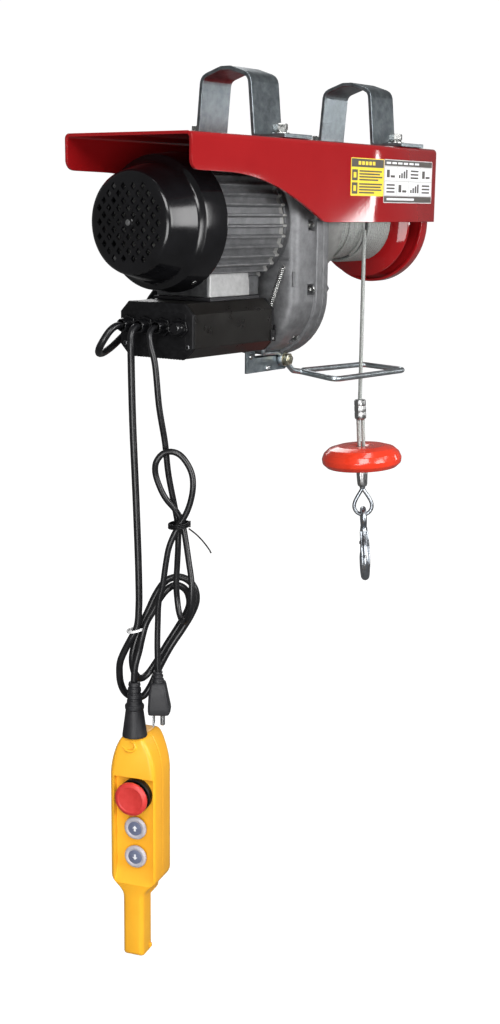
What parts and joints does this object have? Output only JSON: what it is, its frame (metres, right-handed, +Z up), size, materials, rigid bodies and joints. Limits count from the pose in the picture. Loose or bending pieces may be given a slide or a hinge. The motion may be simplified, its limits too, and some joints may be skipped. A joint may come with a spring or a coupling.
{
  "type": "electric wire rope hoist",
  "caption": "Compact electric wire-rope hoist: channel frame on hanger straps, motor, gearbox, rope drum, hook with stop disc, limit lever and a hanging push-button pendant.",
  "frame": {"origin": "seat of the support tube: midway between the two hanger straps, at the height of the underside of their crowns, on the channel's centre plane", "axes": "+X along the channel from the motor end to the drum end, +Y across it away from the side the hoist rope hangs on, +Z up"},
  "size_m": [0.445, 0.1666, 0.8835],
  "materials": {
    "red_paint": "gloss red enamel",
    "black_gloss": "gloss black",
    "black_plastic": "fine matt black",
    "cast_aluminium": "as cast",
    "dark_steel": "oiled",
    "copper": null,
    "bright_steel": "machined",
    "black_anodised": "black anodised, satin",
    "rubber": "matt",
    "zinc_plate": "bluish zinc plate",
    "cable_black": "satin sheath",
    "wire_rope": "galvanised strands",
    "disc_orange": "gloss orange red",
    "hook_chrome": "polished",
    "pendant_yellow": "satin yellow",
    "stop_red": "satin red",
    "button_grey": "frosted boot"
  },
  "bodies": {
    "frame": {"channel_frame": "red_paint", "end_plate": "red_paint", "hanger_strap_1": "zinc_plate", "hanger_strap_2": "zinc_plate", "hanger_bolt_1": "bright_steel", "hanger_bolt_2": "bright_steel", "hanger_bolt_3": "bright_steel", "hanger_bolt_4": "bright_steel", "fan_cover": "black_gloss", "motor_housing": "cast_aluminium", "stator_core": "dark_steel", "stator_winding": "copper", "motor_bearing_rear": "bright_steel", "motor_bearing_front": "bright_steel", "gearbox_housing": "cast_aluminium", "gearbox_cover": "cast_aluminium", "drum_bearing": "bright_steel", "end_bearing": "bright_steel", "control_box": "black_anodised", "box_cap_left": "black_plastic", "box_cap_right": "black_plastic", "mounting_pad": "rubber", "cable_gland_1": "black_plastic", "cable_gland_2": "black_plastic", "cable_gland_3": "black_plastic", "cable_gland_4": "black_plastic", "capacitor": "black_plastic", "lever_bracket": "zinc_plate", "lever_pivot": "bright_steel", "limit_switch": "black_plastic", "lever_spring": "bright_steel", "motor_lead": "cable_black"},
    "rotor": {"motor_shaft": "bright_steel", "rotor_core": "dark_steel", "cooling_fan": "black_plastic"},
    "layshaft_body": {"layshaft": "bright_steel", "intermediate_gear": "dark_steel"},
    "drum_body": {"drum": "red_paint", "drum_gear": "dark_steel", "rope_winding": "wire_rope"},
    "rope_end": {"hoist_rope": "wire_rope", "upper_ferrule": "cast_aluminium", "rope_strand_live": "wire_rope", "rope_strand_dead": "wire_rope", "stop_disc": "disc_orange", "lower_ferrule": "cast_aluminium", "thimble": "zinc_plate"},
    "hook_body": {"hook": "hook_chrome"},
    "latch_body": {"hook_latch": "hook_chrome"},
    "lever_body": {"limit_lever": "zinc_plate"},
    "pendant": {"pendant_front": "pendant_yellow", "pendant_back": "pendant_yellow", "cable_boot": "rubber", "contact_block": "black_plastic", "pendant_cable": "cable_black", "power_cord": "cable_black", "plug": "black_plastic"},
    "estop": {"estop_button": "stop_red"},
    "up": {"up_button": "button_grey"},
    "down": {"down_button": "button_grey"}
  },
  "joints": [
    {"name": "motor_spin", "type": "hinge", "parent": "frame", "child": "rotor", "pos_m": [-0.1615, 0, -0.145], "axis": [1, 0, 0], "range_deg": [-3967, 28560]},
    {"name": "layshaft_spin", "type": "hinge", "parent": "frame", "child": "layshaft_body", "pos_m": [-0.0815, 0, -0.205], "axis": [1, 0, 0], "range_deg": [-4085, 570]},
    {"name": "drum_spin", "type": "hinge", "parent": "frame", "child": "drum_body", "pos_m": [0.0485, 0, -0.145], "axis": [1, 0, 0], "range_deg": [-101, 721]},
    {"name": "hook_travel", "type": "slide", "parent": "frame", "child": "rope_end", "axis": [0, 0, -1], "range_m": [-0.0778, 0.5568], "deforming": ["hoist_rope"]},
    {"name": "hook_swing", "type": "hinge", "parent": "rope_end", "child": "hook_body", "pos_m": [0.06426, -0.05018, -0.4677], "axis": [0.5826, -0.8108, 0.0558], "range_deg": [-50, 50]},
    {"name": "latch_swing", "type": "hinge", "parent": "hook_body", "child": "latch_body", "pos_m": [0.06661, -0.05071, -0.49975], "axis": [-0.5826, 0.8108, -0.0558], "range_deg": [0, 38], "stiffness_Nm_per_rad": 0.03, "springref_deg": -17.19},
    {"name": "limit_lever_swing", "type": "hinge", "parent": "frame", "child": "lever_body", "pos_m": [-0.0555, -0.0195, -0.285], "axis": [0, -1, 0], "range_deg": [0, 15], "stiffness_Nm_per_rad": 1, "springref_deg": -11.46, "deforming": ["lever_spring"]},
    {"name": "pendant_swing", "type": "hinge", "parent": "frame", "child": "pendant", "pos_m": [-0.2545, 0.0095, -0.241], "axis": [0, 1, 0], "range_deg": [-20, 40]},
    {"name": "estop_press", "type": "slide", "parent": "pendant", "child": "estop", "axis": [0.9613, 0.2756, 0], "range_m": [0, 0.004]},
    {"name": "up_press", "type": "slide", "parent": "pendant", "child": "up", "axis": [0.9613, 0.2756, 0], "range_m": [0, 0.003], "stiffness_N_per_m": 350, "springref_m": -0.0015},
    {"name": "down_press", "type": "slide", "parent": "pendant", "child": "down", "axis": [0.9613, 0.2756, 0], "range_m": [0, 0.003], "stiffness_N_per_m": 350, "springref_m": -0.0015}
  ],
  "couplings": [
    {"joint": "layshaft_spin", "follows": "motor_spin", "ratio": -0.14286},
    {"joint": "drum_spin", "follows": "motor_spin", "ratio": 0.02521},
    {"joint": "hook_travel", "follows": "motor_spin", "m_per_rad": 0.0011155}
  ]
}
